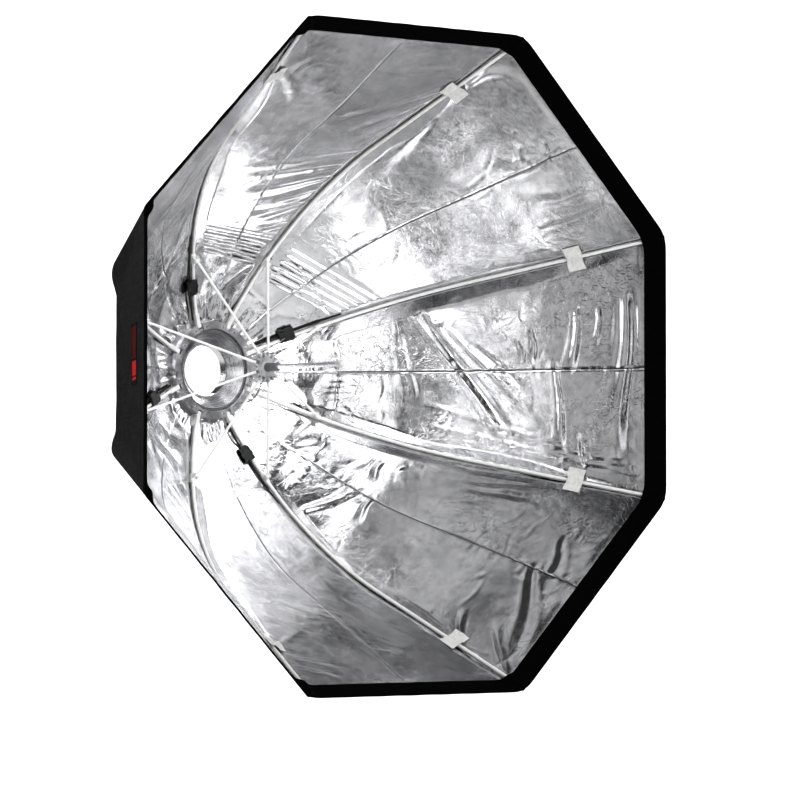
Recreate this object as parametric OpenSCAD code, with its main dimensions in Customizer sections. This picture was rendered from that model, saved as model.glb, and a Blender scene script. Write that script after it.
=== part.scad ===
// Folding octagonal studio softbox with an umbrella type frame.
// Millimetres. The origin is on the axis, in the plane where the bayonet insert seats on a
// flash head. The open front faces -Y and +Z is up.
// Each module draws its piece with the axis along +Z (the front towards +Z), and forward()
// turns that into the part's frame.

/* [Canopy] */
// Radius of the bend in the first part of each rib
bend_r = 596; // [560:1:640]
// Angle between a rib and the ring's plane where it leaves the ring, in degrees
root_slope = 15.3; // [12:0.1:18]
// Angle that the rib bends through before its straight part, in degrees
bend_sweep = 45.5; // [42:0.1:48]
// Length of the straight part of each rib
straight_l = 391; // [340:1:440]
// Thickness of the canopy, its shell and lining together
canopy_t = 1.2; // [0.8:0.1:2]

/* [Ribs and stretchers] */
// Diameter of a rib's rod
rib_d = 6; // [5:0.5:7]
// Diameter of a stretcher's rod
stretcher_d = 5; // [4:0.5:6]
// Distance along the rib from its hinge to the stretcher's bracket
bracket_s = 145; // [130:1:160]
// Distance from the rib's axis to the stretcher's pivot
bracket_lift = 10; // [9.5:0.1:12]

/* [Speedring] */
// Outer radius of the ring
ring_r = 93.5; // [92:0.5:98]
// Inner radius of the ring, in which the insert turns
ring_bore_r = 74; // [72:0.5:76]
// Radius of the circle that the rib hinges lie on
hinge_r = 90; // [88:0.5:90]
// Height of the rib hinges ahead of the seat plane
hinge_z = 28; // [26:0.5:32]

/* [Insert] */
// Radius of the opening for the flash tube
flash_r = 49; // [45:0.5:50]
// Length of the bayonet spigot behind the seat plane
spigot_l = 13; // [10:0.5:15]

/* [Hub] */
// Radius of the hub
hub_r = 29; // [27:0.5:32]
// Radius of the circle that the stretchers' inner pivots lie on
hub_pivot_r = 25; // [23:0.5:25.5]
// Height of those pivots ahead of the rib hinges
hub_pivot_h = 163; // [150:1:170]
// Length of the pull shaft ahead of the hub, sleeve and cap included
shaft_l = 230; // [200:1:240]

/* [Hidden] */
panels = 8;
sector = 360 / panels;
half = sector / 2;
DRAW_FN = 48;
$fn = DRAW_FN;
gap = 0.3;             // between soft pieces of different bodies
fit = 0.05;            // radial clearance of a running fit
pin_r = 1.5;
rib_r = rib_d / 2;
wire_r = stretcher_d / 2;

// Rib line in the plane of radius and height above the hinges, as a function of the distance s
bend_l = bend_r * bend_sweep * PI / 180;
tip_slope = root_slope + bend_sweep;
rib_l = bend_l + straight_l;
bend_x = hinge_r - bend_r * sin(root_slope);
bend_z = hinge_z + bend_r * cos(root_slope);
function slope(s) = root_slope + min(s, bend_l) / bend_r * 180 / PI;
function along(s) = max(s - bend_l, 0);
function line_r(s, out = 0) = bend_x + (bend_r + out) * sin(slope(s)) + along(s) * cos(slope(s));
function line_z(s, out = 0) = bend_z - (bend_r + out) * cos(slope(s)) + along(s) * sin(slope(s));

// Canopy
lining_off = rib_r + 3;
canopy_s0 = 10;
bend_steps = 12;
stations = concat([for (i = [0:bend_steps]) canopy_s0 + (bend_l - canopy_s0) * i / bend_steps], [rib_l]);

// Stretchers
bracket_r = line_r(bracket_s, -bracket_lift);
bracket_z = line_z(bracket_s, -bracket_lift);
hub_pivot_z = hinge_z + hub_pivot_h;
stretcher_l = norm([bracket_r - hub_pivot_r, hub_pivot_z - bracket_z]);
stretcher_lean = atan2(bracket_r - hub_pivot_r, hub_pivot_z - bracket_z);
eye_r = 3.6;
eye_w = 5.4;

// Ring
ring_back = hinge_z - 14;
ring_front = hinge_z + 5;
knuckle_r = 5.4;
knuckle_w = 8.6;
slot_w = 10.4;
slot_in_r = hinge_r - knuckle_r - 1.2;
cover_t = 3;
bail_wire_r = 1.6;
bail_r = 28.5;
bail_off = 82.7;
bail_leg = 16;
bail_turn = -25;

// Hub
carrier_t = 10.5;
carrier_z = hub_pivot_z - carrier_t / 2 - 0.8;
hub_slot_w = 7.4;
hub_slot_r = hub_pivot_r - eye_r - 2;
cap_z = carrier_z + carrier_t + 0.2;
cap_t = 4;
sleeve_l = 34;
shaft_r = 5;
cap_l = 16;

// Straps
strap_ribs = [1, 3, 5, 7];
strap_w = 9;
strap_t = 1.4;
strap_y = 10;
strap_from = 15;
strap_to = 200;
clip_s = 85;
clip_y = 8;
clip_size = [30, 24, 10];
function strap_side(k) = k < 4 ? 1 : -1;

function names(base, list) = [for (k = list) str(base, k)];

// ---- placing ----

module forward() rotate([90, 0, 0]) children();

// The sector of rib k: x is the radius, y the tangent, z forward
module at_rib(k) forward() rotate([0, 0, half + (k - 1) * sector]) children();

module ring(profile) rotate_extrude($fn = 96) polygon(profile);

module all_sectors(turn = 0) for (k = [0:panels - 1]) rotate([0, 0, half + k * sector + turn]) children();

// A bar along the rib's bend between two distances, whose section is the child:
// the child's x points out of the canopy, its y back along the tangent of the octagon
module bent_bar(from_s, to_s)
    translate([bend_x, 0, bend_z]) rotate([90, 0, 0]) rotate([0, 0, slope(from_s) - 90])
        rotate_extrude(angle = slope(to_s) - slope(from_s), $fn = 360) translate([bend_r, 0]) children();

// A place on the rib line: x is forward along the rib, z is into the canopy
module on_rib(s) translate([line_r(s), 0, line_z(s)]) rotate([0, -slope(s), 0]) children();

module tangent_pin(r, l, at_r, at_z)
    translate([at_r, 0, at_z]) rotate([90, 0, 0]) cylinder(r = r, h = l, center = true);

// ---- insert ----

dish_wall = 2.6;
journal_r = ring_bore_r - fit;
groove_r = journal_r - 2.8;
circlip_z = ring_back - 1.8;

module insert_dish() color("gray") forward() ring([
    [flash_r + 3 + fit, 0], [66, 0], [66, 3], [flash_r + 6, 3],
    [journal_r - 3.6, 23], [journal_r - 3.6, circlip_z - 2.2], [journal_r - 1, circlip_z - 2.2],
    [journal_r - 1, circlip_z - 0.1], [groove_r, circlip_z - 0.1], [groove_r, ring_back - 0.2],
    [journal_r, ring_back - 0.2], [journal_r, hinge_z + 0.1], [journal_r + 3.4, hinge_z + 0.1],
    [journal_r + 3.4, hinge_z + 2.3], [journal_r - 1, hinge_z + 2.3],
    [flash_r + 3 + fit, 5]
]);

lug_r = 58.5;
lug_arc = 30;
module bayonet_ring() color("lightgray") forward() union() {
    difference() {
        translate([0, 0, -spigot_l]) cylinder(r = flash_r + 3, h = spigot_l + 5, $fn = 96);
        translate([0, 0, -spigot_l - 1]) cylinder(r = flash_r, h = spigot_l + 7, $fn = 96);
    }
    for (a = [0:120:240]) rotate([0, 0, a - lug_arc / 2]) translate([0, 0, -spigot_l])
        rotate_extrude(angle = lug_arc) translate([flash_r + 2.9, 0]) square([lug_r - flash_r - 2.9, 3.5]);
}

module insert_circlip() color("dimgray") forward() difference() {
    ring([[groove_r + 0.05, circlip_z], [journal_r + 4, circlip_z], [journal_r + 4, circlip_z + 1.5],
          [groove_r + 0.05, circlip_z + 1.5]]);
    rotate([0, 0, -94]) translate([groove_r - 2, -4, circlip_z - 1]) cube([12, 8, 4]);
}

// ---- speedring ----

module rib_slots(w, from_r, from_z) all_sectors() translate([from_r, -w / 2, from_z]) cube([30, w, 40]);

module speedring_housing() color("gray") forward() difference() {
    ring([[ring_bore_r, ring_back], [ring_r, ring_back], [ring_r, ring_front],
          [ring_bore_r + 4, ring_front], [ring_bore_r + 4, hinge_z], [ring_bore_r, hinge_z]]);
    rib_slots(slot_w, slot_in_r, hinge_z - knuckle_r - 1.2);
    all_sectors() tangent_pin(pin_r + 0.01, slot_w + 14, hinge_r, hinge_z);
    screw_places() translate([0, 0, ring_front - 8]) cylinder(r = 1.3, h = 10, $fn = 24);
}

screw_r = ring_r - 9;
module screw_places() for (side = [-1, 1]) all_sectors(half + side * 13) translate([screw_r, 0, 0]) children();

module ring_cover() color("silver") forward() difference() {
    ring([[ring_bore_r + 4.4, ring_front], [ring_r, ring_front], [ring_r, ring_front + cover_t - 0.8],
          [ring_r - 0.8, ring_front + cover_t], [ring_bore_r + 5.2, ring_front + cover_t],
          [ring_bore_r + 4.4, ring_front + cover_t - 0.8]]);
    rib_slots(slot_w + 1, ring_bore_r, ring_front - 1);
    screw_places() translate([0, 0, ring_front - 1]) cylinder(r = 1.6, h = 10, $fn = 24);
    bail_ends() translate([0, 0, -1]) cylinder(r = bail_wire_r + fit, h = 10, $fn = 24);
}

module cover_screws() color("silver") forward() screw_places() {
    translate([0, 0, ring_front - 7.9]) cylinder(r = 1.25, h = 11, $fn = 24);
    translate([0, 0, ring_front + cover_t + 0.02]) difference() {
        cylinder(r = 2.5, h = 1.5, $fn = 24);
        translate([0, 0, 0.8]) cylinder(r = 1.4, h = 1, $fn = 6);
    }
}

module hinge_pins() color("silver") forward() all_sectors()
    tangent_pin(pin_r, slot_w + 13.6, hinge_r, hinge_z);

clamp_r = ring_r + 9.5;
module fabric_clamp_ring() color("dimgray") forward() ring([
    [ring_r + 0.1, ring_back + 0.5], [ring_r + 2, ring_back + 0.5], [ring_r + 2, hinge_z - 8],
    [clamp_r, hinge_z - 5.6], [clamp_r, hinge_z - 4.4], [ring_r + 2, hinge_z - 6.2], [ring_r + 0.1, hinge_z - 6.2]
]);

// A wire bail over the root of rib 8, its ends held in the cover
module bail_ends() rotate([0, 0, bail_turn]) for (y = [-bail_r, bail_r])
    translate([bail_off, y, ring_front + 0.3]) children();
module lock_wire() color("dimgray") forward() {
    bail_ends() cylinder(r = bail_wire_r, h = bail_leg, $fn = 24);
    rotate([0, 0, bail_turn]) translate([bail_off, 0, ring_front + 0.2 + bail_leg]) rotate([90, 0, 90])
        rotate_extrude(angle = 180, $fn = 96) translate([bail_r, 0]) circle(r = bail_wire_r - 0.01, $fn = 24);
}

// ---- hub ----

module hub_slots(w, from_r, turn = 0) all_sectors(turn) translate([from_r, -w / 2, -1]) cube([20, w, 40]);

module hub_carrier() color("dimgray") forward() difference() {
    union() {
        translate([0, 0, carrier_z - 12]) cylinder(r = 11, h = 13);
        translate([0, 0, carrier_z]) cylinder(r = hub_r - 0.5, h = carrier_t);
    }
    translate([0, 0, carrier_z]) hub_slots(hub_slot_w, hub_slot_r);
    translate([0, 0, carrier_z - 10]) cylinder(r = shaft_r, h = 40);
}

module hub_cap() color("gray") forward() difference() {
    translate([0, 0, cap_z]) union() {
        cylinder(r = hub_r, h = cap_t);
        cylinder(r = 15, h = cap_t + 1.5);
        for (t = [0:2 * panels - 1]) rotate([0, 0, (t + 0.5) * half])
            translate([hub_r - 4.6, 0, 0]) cylinder(r = 2.8, h = cap_t + 1, $fn = 24);
    }
    translate([0, 0, cap_z]) hub_slots(hub_slot_w, hub_slot_r);
    translate([0, 0, cap_z]) hub_slots(3, hub_slot_r + 3, half);
    translate([0, 0, cap_z - 1]) cylinder(r = shaft_r, h = 20);
}

sleeve_z = cap_z + cap_t + 1.6;
module shaft_sleeve() color("dimgray") forward() difference() {
    ring([[0, sleeve_z], [8.6, sleeve_z], [8.6, sleeve_z + 2.5], [7.6, sleeve_z + 3.5], [7.6, sleeve_z + 5],
          [8, sleeve_z + 5.5], [8, sleeve_z + sleeve_l - 1], [7, sleeve_z + sleeve_l], [0, sleeve_z + sleeve_l]]);
    translate([0, 0, sleeve_z - 1]) cylinder(r = shaft_r, h = sleeve_l + 2);
}

shaft_end = cap_z + cap_t + shaft_l;
module pull_shaft() color("silver") forward() translate([0, 0, carrier_z - 9.9])
    cylinder(r = shaft_r - 0.02, h = shaft_end - cap_l + 4 - carrier_z + 9.9);

module shaft_cap() color("gray") forward() translate([0, 0, shaft_end - cap_l]) difference() {
    ring([[0, 0], [6.4, 0], [6.4, cap_l - 3], [4.6, cap_l], [0, cap_l]]);
    translate([0, 0, -1]) cylinder(r = shaft_r, h = 5.02);
}

// ---- ribs ----

rod_from = 9;
socket_to = 26;
tip_gap = 6;
lap = 2;
module rib(k) color("white") at_rib(k) union() {
    bent_bar(rod_from, bend_l) circle(r = rib_r - 0.02);
    on_rib(bend_l) translate([-lap, 0, 0]) rotate([0, 90, 0])
        cylinder(r = rib_r, h = straight_l - tip_gap + lap);
}

// A straight bar or bore along the rib's line about the distance s
module rib_bar(r, s, l) on_rib(s) rotate([0, 90, 0]) cylinder(r = r, h = l, center = true);

rod_fit = 0.15;        // the rod's slight bend lies within it
module knuckle() difference() {
    socket_l = socket_to - 2;
    union() {
        tangent_pin(knuckle_r, knuckle_w, hinge_r, hinge_z);
        on_rib(socket_to / 2) translate([-socket_l / 2, -knuckle_w / 2 + 0.4, -4.1])
            cube([socket_l, knuckle_w - 0.8, 8.2]);
    }
    tangent_pin(pin_r + fit, knuckle_w + 2, hinge_r, hinge_z);
    rib_bar(rib_r + rod_fit, rod_from + socket_l / 2, socket_l);
}

bracket_l = 18;
cheek_t = 2;
cheek_y = eye_w / 2 + 0.4;
module bracket() {
    difference() {
        union() {
            rib_bar(5, bracket_s, bracket_l);
            for (y = [-cheek_y - cheek_t, cheek_y]) {
                on_rib(bracket_s) translate([-4.2, y + 0.1, 1]) cube([8.4, cheek_t - 0.2, bracket_lift - 1]);
                translate([bracket_r, y + cheek_t, bracket_z]) rotate([90, 0, 0]) cylinder(r = 4.4, h = cheek_t);
            }
        }
        rib_bar(rib_r + rod_fit, bracket_s, bracket_l + 2);
    }
    tangent_pin(pin_r, 2 * (cheek_y + cheek_t) + 1, bracket_r, bracket_z);
}

ferrule_l = 20;
module rib_fittings(k) color("gainsboro") at_rib(k) {
    knuckle();
    bracket();
    difference() {
        rib_bar(4.4, rib_l - tip_gap - 8, ferrule_l);
        rib_bar(rib_r + 0.02, rib_l - tip_gap - ferrule_l / 2, ferrule_l);
    }
}

module stretcher(k) color("white") at_rib(k) translate([hub_pivot_r, 0, hub_pivot_z]) rotate([0, 180 - stretcher_lean, 0])
    difference() {
        union() {
            cylinder(r = wire_r, h = stretcher_l);
            rotate([90, 0, 0]) cylinder(r = eye_r, h = eye_w, center = true);
            translate([0, 0, stretcher_l]) rotate([90, 0, 0]) cylinder(r = eye_r, h = eye_w, center = true);
        }
        translate([0, 0, stretcher_l]) rotate([90, 0, 0]) cylinder(r = pin_r + fit, h = 10, center = true);
        rotate([90, 0, 0]) cylinder(r = pin_r + fit, h = 10, center = true);
    }

// ---- canopy ----

// Corner of the panel at distance s: edge is 0 at the rib and 1 at the middle seam
function panel_point(s, out, edge, side) =
    let (r = line_r(s, out), run = edge == 0 ? gap : r * sin(half) - gap)
    [r - run * sin(half), side * run * cos(half), line_z(s, out)];

// Rows of four corners: lining at the rib and at the seam, shell at the seam and at the rib
function panel_rows(side) = [for (s = stations)
    [for (c = [[0, 0], [0, 1], [canopy_t, 1], [canopy_t, 0]]) panel_point(s, lining_off + c[0], c[1], side)]];

module sweep(rows) {
    n = len(rows[0]);
    points = [for (row = rows) for (p = row) p];
    sides = [for (i = [0:len(rows) - 2], j = [0:n - 1])
        [i * n + j, i * n + (j + 1) % n, (i + 1) * n + (j + 1) % n, (i + 1) * n + j]];
    first = [for (j = [n - 1:-1:0]) j];
    last = [for (j = [0:n - 1]) (len(rows) - 1) * n + j];
    polyhedron(points, concat(sides, [first], [last]));
}

module gore(k, side) color("dimgray") at_rib(k)
    if (side > 0) sweep(panel_rows(side));
    else sweep([for (row = panel_rows(side)) [for (j = [3:-1:0]) row[j]]]);

// ---- straps and label ----

// Webbing beside the rod, and on it a side release clip that straddles the rod
module strap(k) color("black") at_rib(k) difference() {
    union() {
        bent_bar(strap_from, strap_to) translate([0, -strap_side(k) * strap_y])
            square([strap_t, strap_w], center = true);
        on_rib(clip_s) translate([-clip_size[0] / 2, strap_side(k) * clip_y - clip_size[1] / 2, -2])
            cube(clip_size);
    }
    rib_bar(rib_r + 0.4, clip_s, clip_size[0] + 2);
}

// Half of the label on the left panel, above or below the panel's middle seam
label_t = 0.6;
label_s = [650, 750];
label_h = 54;
module label_half(k, side) color("darkred") at_rib(k) {
    out = lining_off + canopy_t + gap;
    rows = [for (s = label_s) [for (c = [[0, 1], [0, 0], [label_t, 0], [label_t, 1]])
        let (r = line_r(s, out + c[0]), run = r * sin(half) - gap - c[1] * label_h)
        [r - run * sin(half), side * run * cos(half), line_z(s, out + c[0])]]];
    if (side > 0) sweep(rows);
    else sweep([for (row = rows) [for (j = [3:-1:0]) row[j]]]);
}

// ---- the nodes ----

insert_dish();
bayonet_ring();
insert_circlip();
speedring_housing();
ring_cover();
hinge_pins();
cover_screws();
fabric_clamp_ring();
lock_wire();
hub_carrier();
hub_cap();
shaft_sleeve();
pull_shaft();
shaft_cap();
for (k = [1:panels]) {
    rib(k);
    rib_fittings(k);
    stretcher(k);
    gore(k, -1);
    gore(k, 1);
}
for (k = strap_ribs) strap(k);
label_half(4, 1);  // label_upper
label_half(5, -1);  // label_lower
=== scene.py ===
"""Looks of a folding octagonal studio softbox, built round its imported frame.

Metres, in the part's own frame: the axis is Y, the open front faces -Y and +Z is up.
A place on the canopy is (s, c): s is the distance along a rib from its hinge, and c runs from
-1 at a panel's first rib over 0 at its middle seam to 1 at its second rib.
"""

import math

import bmesh
import bpy
import numpy as np
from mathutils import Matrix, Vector, noise


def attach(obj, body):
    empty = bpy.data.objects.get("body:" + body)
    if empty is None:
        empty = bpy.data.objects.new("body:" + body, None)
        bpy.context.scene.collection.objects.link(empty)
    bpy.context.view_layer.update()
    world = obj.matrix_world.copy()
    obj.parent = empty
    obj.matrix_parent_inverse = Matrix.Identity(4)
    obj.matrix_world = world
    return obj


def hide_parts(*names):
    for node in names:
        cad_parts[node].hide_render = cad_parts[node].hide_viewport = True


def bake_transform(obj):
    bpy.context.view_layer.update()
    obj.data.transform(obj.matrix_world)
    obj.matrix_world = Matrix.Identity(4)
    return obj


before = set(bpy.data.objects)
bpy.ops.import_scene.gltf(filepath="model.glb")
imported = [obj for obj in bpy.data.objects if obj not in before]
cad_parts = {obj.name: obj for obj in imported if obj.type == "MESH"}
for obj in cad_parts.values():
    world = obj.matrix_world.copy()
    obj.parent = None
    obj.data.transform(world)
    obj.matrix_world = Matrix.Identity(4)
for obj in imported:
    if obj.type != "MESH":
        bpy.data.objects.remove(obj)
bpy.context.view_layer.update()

# ---- the canopy's shape, as in the CAD source ----

PANELS = 8
SECTOR = 2 * math.pi / PANELS
HALF = SECTOR / 2
BEND_R = 0.596
ROOT_SLOPE = math.radians(15.3)
BEND_SWEEP = math.radians(45.5)
STRAIGHT_L = 0.391
HINGE_R = 0.090
HINGE_Z = 0.028
ROD_R = 0.003
BEND_L = BEND_R * BEND_SWEEP
RIB_L = BEND_L + STRAIGHT_L
LINING_OFF = 0.006
SHELL_OFF = 0.0075
ROOT_S = 0.003
BAND_DEPTH = 0.044
BAND_S = RIB_L - BAND_DEPTH
MM = 0.001


def slope(s):
    """The rib's angle ahead of the ring's plane, at the distance s along it."""
    return ROOT_SLOPE + np.minimum(s, BEND_L) / BEND_R


def rib_line(s, out=0.0):
    """Radius and height ahead of the seat plane, at the distance s along a rib, off its axis by out."""
    a, t = slope(s), np.maximum(s - BEND_L, 0)
    r = HINGE_R - BEND_R * math.sin(ROOT_SLOPE) + (BEND_R + out) * np.sin(a) + t * np.cos(a)
    z = HINGE_Z + BEND_R * math.cos(ROOT_SLOPE) - (BEND_R + out) * np.cos(a) + t * np.sin(a)
    return r, z


def rib_azimuth(k):
    """The angle of rib k round the axis, from +X towards +Z."""
    return HALF + (k - 1) * SECTOR


def turned(radial, tangent, ahead, azimuth):
    """Points given by radius, tangent and height ahead in the sector at this azimuth, in the part's frame."""
    c, s = math.cos(azimuth), math.sin(azimuth)
    return np.stack([radial * c - tangent * s, -ahead, radial * s + tangent * c], axis=-1)


def panel_points(p, s, c, out, rise):
    """Points of panel p at (s, c), off the rib's axis by out, and moved into the canopy by rise."""
    r, z = rib_line(s, out)
    a = slope(s)
    n_r, n_z = -np.sin(a), np.cos(a) * math.cos(HALF)
    n = np.hypot(n_r, n_z)
    radial = r * math.cos(HALF) + rise * n_r / n
    return turned(radial, c * r * math.sin(HALF), z + rise * n_z / n, rib_azimuth(p) + HALF)


def rib_points(k, s, side, lift):
    """Points at the distance s along rib k, to one side of it, and into the canopy by lift."""
    r, z = rib_line(s, -lift)
    return turned(r, side, z, rib_azimuth(k))


# ---- meshes ----


def new_object(name, mesh, material, smooth=True):
    """An object in the scene from a finished mesh."""
    piece = bpy.data.objects.new(name, mesh)
    bpy.context.scene.collection.objects.link(piece)
    mesh.materials.append(material)
    if smooth:
        mesh.polygons.foreach_set("use_smooth", [True] * len(mesh.polygons))
    return piece


def grid_piece(name, points, uv, material, flip=False):
    """A sheet from an array of points, rows by columns by 3, and a UV map in metres of the flat cloth."""
    rows, cols = points.shape[:2]
    i, j = np.meshgrid(np.arange(rows - 1), np.arange(cols - 1), indexing="ij")
    a = (i * cols + j).ravel()
    quads = np.stack([a, a + 1, a + cols + 1, a + cols], axis=1)
    if flip:
        quads = quads[:, ::-1]
    mesh = bpy.data.meshes.new(name)
    mesh.from_pydata(points.reshape(-1, 3).tolist(), [], quads.tolist())
    layer = mesh.uv_layers.new(name="flat")
    layer.data.foreach_set("uv", uv.reshape(-1, 2)[quads.ravel()].astype(np.float32).ravel())
    return new_object(name, mesh, material)


def swept_piece(name, rings, uv, material):
    """A bar with closed ends from rings of points: an array of rings by corners by 3."""
    n, m = rings.shape[:2]
    faces, corners = [], []
    for i in range(n - 1):
        for j in range(m):
            k = (j + 1) % m
            faces.append([i * m + j, i * m + k, (i + 1) * m + k, (i + 1) * m + j])
            corners += [uv[i][j], uv[i][j + 1], uv[i + 1][j + 1], uv[i + 1][j]]
    for i, order in ((0, range(m - 1, -1, -1)), (n - 1, range(m))):
        faces.append([i * m + j for j in order])
        corners += [uv[i][j] for j in order]
    mesh = bpy.data.meshes.new(name)
    mesh.from_pydata(rings.reshape(-1, 3).tolist(), [], faces)
    layer = mesh.uv_layers.new(name="flat")
    layer.data.foreach_set("uv", np.array(corners, np.float32).ravel())
    return new_object(name, mesh, material)


# ---- materials ----


class Look:
    """A node material and short ways to add what it is made of."""

    def __init__(self, name, color, roughness, metallic=0.0, **sockets):
        self.mat = bpy.data.materials.new(name)
        self.mat.use_nodes = True
        self.nodes, self.links = self.mat.node_tree.nodes, self.mat.node_tree.links
        self.shader = self.nodes["Principled BSDF"]
        self.set("Base Color", (*color, 1))
        self.set("Roughness", roughness)
        self.set("Metallic", metallic)
        for socket, value in sockets.items():
            self.set(socket.replace("_", " "), value)

    def set(self, socket, value):
        self.shader.inputs[socket].default_value = value

    def put(self, socket, source):
        self.links.new(source, self.shader.inputs[socket])

    def node(self, kind, **values):
        made = self.nodes.new("ShaderNode" + kind)
        for key, value in values.items():
            setattr(made, key, value)
        return made

    def joined(self, kind, *sources, **values):
        made = self.node(kind, **values)
        for socket, source in zip(made.inputs, sources):
            if isinstance(source, bpy.types.NodeSocket):
                self.links.new(source, socket)
            elif source is not None:
                socket.default_value = source
        return made.outputs[0]

    def math(self, operation, *sources):
        return self.joined("Math", *sources, operation=operation)

    def place(self, stretch=(1, 1, 1), source="Object"):
        """Coordinates, stretched along the axes: the part's own or the flat cloth's."""
        if source == "flat":
            coordinates = self.node("UVMap", uv_map="flat").outputs[0]
        else:
            coordinates = self.node("TexCoord").outputs[source]
        mapping = self.node("Mapping")
        self.links.new(coordinates, mapping.inputs["Vector"])
        mapping.inputs["Scale"].default_value = stretch
        return mapping.outputs[0]

    def axes(self, source="flat"):
        """The separate coordinates: across and along the flat cloth, or the part's X, Y and Z."""
        made = self.node("SeparateXYZ")
        self.links.new(self.place(source=source), made.inputs[0])
        return made.outputs

    def noise(self, where, scale, detail=3.0, rough=0.55, distortion=0.0):
        made = self.node("TexNoise")
        self.links.new(where, made.inputs["Vector"])
        values = {"Scale": scale, "Detail": detail, "Roughness": rough, "Distortion": distortion}
        for key, value in values.items():
            made.inputs[key].default_value = value
        return made.outputs["Fac"]

    def cells(self, where, scale):
        made = self.node("TexVoronoi", feature="F1")
        self.links.new(where, made.inputs["Vector"])
        made.inputs["Scale"].default_value = scale
        return made.outputs["Distance"]

    def ramp(self, source, *stops):
        """A colour or grey that follows the source: stops are (place, colour)."""
        made = self.node("ValToRGB")
        self.links.new(source, made.inputs[0])
        band = made.color_ramp.elements
        while len(band) < len(stops):
            band.new(0.5)
        for element, (where, color) in zip(band, stops):
            element.position = where
            element.color = (*color, 1) if isinstance(color, tuple) else (color, color, color, 1)
        return made.outputs[0]

    def between(self, source, low, high, out_low=0.0, out_high=1.0):
        made = self.node("MapRange")
        self.links.new(source, made.inputs[0])
        for socket, value in zip(made.inputs[1:5], (low, high, out_low, out_high)):
            socket.default_value = value
        return made.outputs[0]

    def mix(self, share, first, second):
        made = self.node("Mix", data_type="RGBA")
        for index, source in ((0, share), (6, first), (7, second)):
            if isinstance(source, bpy.types.NodeSocket):
                self.links.new(source, made.inputs[index])
            else:
                made.inputs[index].default_value = (*source, 1) if isinstance(source, tuple) else source
        return made.outputs[2]

    def bump(self, height, depth, strength=1.0, under=None):
        made = self.node("Bump")
        self.links.new(height, made.inputs["Height"])
        made.inputs["Distance"].default_value = depth
        made.inputs["Strength"].default_value = strength
        if under is not None:
            self.links.new(under, made.inputs["Normal"])
        self.put("Normal", made.outputs[0])
        return made.outputs[0]

    def crinkles(self, where, scale, width):
        """Thin wandering lines, as on foil that has been crushed and smoothed again."""
        off = self.math("ABSOLUTE", self.math("SUBTRACT", self.noise(where, scale, 2, 0.5, 0.8), 0.5))
        return self.between(off, 0.0, width, 1.0, 0.0)

    def stripes(self, source, pitch, share):
        """1 on a share of every pitch along the source, else 0."""
        turns = self.math("FRACT", self.math("DIVIDE", source, pitch))
        return self.math("LESS_THAN", turns, share)

    def near(self, source, value, width):
        """1 where the source is within half the width of the value."""
        return self.math("COMPARE", source, value, width / 2)

    def worn_edges(self, share):
        """This much wear along the convex edges, else 0."""
        edge = self.between(self.node("NewGeometry").outputs["Pointiness"], 0.52, 0.60)
        return self.math("MULTIPLY", edge, share)

    def weave(self, across, along, turns):
        """Over and under, at this many radians a metre each way."""
        waves = [self.math("SINE", self.math("MULTIPLY", way, turns)) for way in (across, along)]
        return self.math("MULTIPLY", *waves)


def lining_look():
    """Silver foil cloth: crushed and smoothed again, with a stitched seam down the middle of the panel and a
    painted shade line along it.
    """
    look = Look("lining_silver", (0.82, 0.82, 0.83), 0.24, 1.0)
    where = look.place()
    across, along = look.axes()[:2]
    off_seam = look.math("ABSOLUTE", across)
    cloud = look.noise(where, 38, 5, 0.62)
    silver = look.ramp(cloud, (0.3, (0.60, 0.60, 0.61)), (0.7, (0.78, 0.78, 0.79)))
    # Painted shade: a thin dark grey stripe in the base colour down the middle seam, past the skirt, stands
    # in for the seam's shadow.
    past_skirt = look.near(along, 0.5, 0.62)
    painted_seam_shade = look.math("MULTIPLY", look.near(off_seam, 0, 0.0024), past_skirt)
    look.put("Base Color", look.mix(painted_seam_shade, silver, (0.20, 0.20, 0.205)))
    look.put("Roughness", look.between(look.noise(where, 90, 4, 0.6), 0.3, 0.7, 0.11, 0.21))
    threads = look.crinkles(where, 30, 0.016)
    threads = look.math("ADD", threads, look.math("MULTIPLY", look.crinkles(where, 62, 0.03), 0.6))
    patchy = look.between(look.noise(where, 9, 2), 0.42, 0.60)
    crease = look.bump(look.math("MULTIPLY", threads, patchy), 0.0003, 0.5)
    fine = look.noise(where, 150, 3, 0.6, 0.6)
    row = look.near(off_seam, 0.0045, 0.0009)
    stitch = look.math("MULTIPLY", row, look.stripes(along, 0.0042, 0.68))
    height = look.math("SUBTRACT", look.math("MULTIPLY", fine, 0.12), look.math("MULTIPLY", stitch, 0.8))
    look.bump(height, 0.0012, 0.6, crease)
    return look.mat


def shell_look():
    """Black coated nylon: a fine weave with long soft streaks."""
    look = Look("shell_black", (0.013, 0.013, 0.014), 0.5, Specular_IOR_Level=0.3)
    where = look.place()
    across, along = look.axes()[:2]
    tone = look.noise(where, 30, 4)
    look.put("Base Color", look.ramp(tone, (0.3, (0.010, 0.010, 0.011)), (0.75, (0.022, 0.022, 0.024))))
    look.put("Roughness", look.between(look.noise(where, 120, 3), 0.3, 0.7, 0.42, 0.62))
    streak = look.bump(look.noise(look.place((60, 3, 1), "flat"), 1, 4, 0.6), 0.0035, 0.5)
    look.bump(look.weave(across, along, 5200), 0.00025, 0.5, streak)
    return look.mat


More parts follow.
